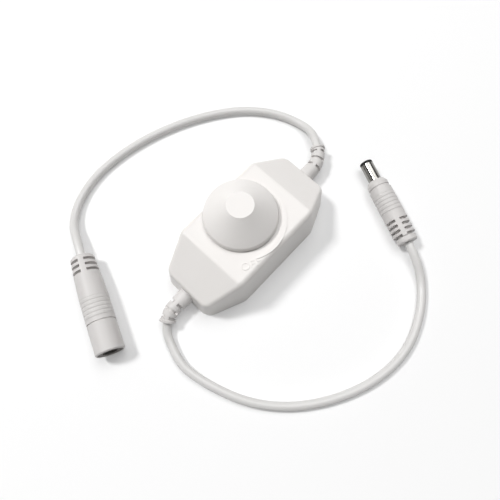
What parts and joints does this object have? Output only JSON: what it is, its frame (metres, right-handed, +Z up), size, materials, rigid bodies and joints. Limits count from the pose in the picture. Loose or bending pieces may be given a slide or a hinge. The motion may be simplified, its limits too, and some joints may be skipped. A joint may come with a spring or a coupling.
{
  "type": "inline rotary dimmer",
  "caption": "Small inline rotary dimmer for low-voltage lighting: a housing with a cone-shaped knob between a cable with a barrel socket and a cable with a barrel plug.",
  "frame": {"origin": "under the middle of the housing, on the surface it lies on", "axes": "+X along the housing towards the socket's cable, +Y across it towards the knob's offset, +Z up along the knob's axis"},
  "size_m": [0.1362, 0.1475, 0.0303],
  "materials": {
    "housing_plastic": "moulded ABS with a fine satin skin",
    "knob_plastic": "moulded ABS with a satin skin",
    "soft_white": "soft moulded PVC, dull satin",
    "cable_jacket": "extruded PVC jacket, satin",
    "screw_steel": "zinc-plated steel",
    "pot_metal": "plated die-cast and pressed metal",
    "shaft_metal": "turned aluminium",
    "contact_brass": "bare spring brass",
    "track_laminate": "phenolic wafer",
    "board_laminate": "glass laminate with green mask",
    "component_black": "moulded epoxy",
    "capacitor_can": "aluminium can in a dark sleeve",
    "ceramic_tan": "fired ceramic",
    "plug_plating": "bright nickel plate on brass",
    "insulator_black": "moulded black plastic",
    "wire_red": "red PVC insulation",
    "wire_black": "black PVC insulation"
  },
  "bodies": {
    "housing": {"upper_shell": "housing_plastic", "base_cover": "housing_plastic", "case_screws": "screw_steel", "input_gland": "soft_white", "output_gland": "soft_white", "input_cable": "cable_jacket", "output_cable": "cable_jacket", "pot_bushing": "pot_metal", "pot_case": "pot_metal", "pot_track": "track_laminate", "pot_lugs": "contact_brass", "pot_washer": "screw_steel", "pot_nut": "screw_steel", "circuit_board": "board_laminate", "smoothing_capacitor": "capacitor_can", "power_transistor": "component_black", "control_chip": "component_black", "freewheel_diode": "component_black", "ceramic_capacitors": "ceramic_tan", "resistors": "component_black", "input_red_wire": "wire_red", "input_black_wire": "wire_black", "output_red_wire": "wire_red", "output_black_wire": "wire_black", "plug_overmould": "soft_white", "plug_barrel": "plug_plating", "plug_insulator": "insulator_black", "plug_inner_contact": "plug_plating", "plug_red_wire": "wire_red", "plug_black_wire": "wire_black", "jack_overmould": "soft_white", "jack_insert": "insulator_black", "jack_centre_pin": "plug_plating", "jack_spring_contact": "plug_plating", "jack_red_wire": "wire_red", "jack_black_wire": "wire_black"},
    "dial": {"knob": "knob_plastic", "pot_shaft": "shaft_metal", "pot_wiper": "contact_brass"}
  },
  "joints": [
    {"name": "knob_turn", "type": "hinge", "parent": "housing", "child": "dial", "pos_m": [0, 0.0034, 0.0255], "axis": [0, 0, 1], "range_deg": [-135, 135]}
  ]
}
